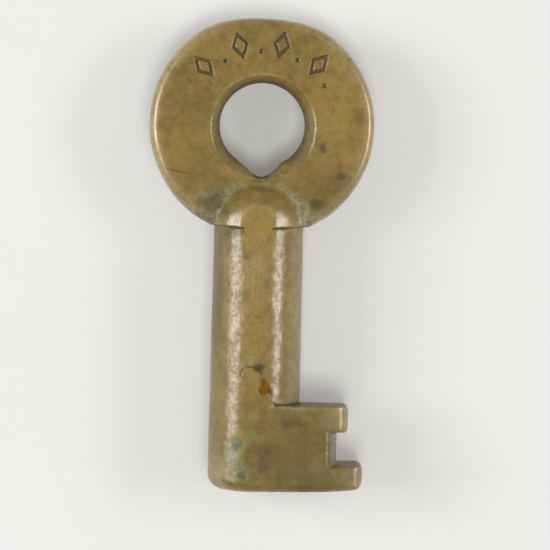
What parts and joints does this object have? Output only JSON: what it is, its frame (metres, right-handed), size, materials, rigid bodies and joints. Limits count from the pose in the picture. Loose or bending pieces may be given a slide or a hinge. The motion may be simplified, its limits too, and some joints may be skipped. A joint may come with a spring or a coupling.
{
  "type": "switch key",
  "caption": "Solid brass switch lock key with a pierced round bow, a hollow barrel that slips over a lock's post, and a notched bit; worn and darkened with age.",
  "frame": {"origin": "centre of the barrel's open mouth, on the axis of the post bore", "axes": "+Y up the barrel to the bow, +X out along the bit, +Z out of the front face"},
  "size_m": [0.0254, 0.0536, 0.0104],
  "materials": {
    "bow_brass": "cast, filed and worn smooth, olive brown patina",
    "barrel_brass": "turned, worn smooth, brown and grey green patina",
    "bit_brass": "cast and filed, dark brown patina",
    "braze": "dull filler, stained rust brown and green"
  },
  "bodies": {
    "root": {"bow": "bow_brass", "barrel": "barrel_brass", "bit": "bit_brass", "shoulder_braze": "braze", "bit_braze": "braze"}
  },
  "joints": []
}
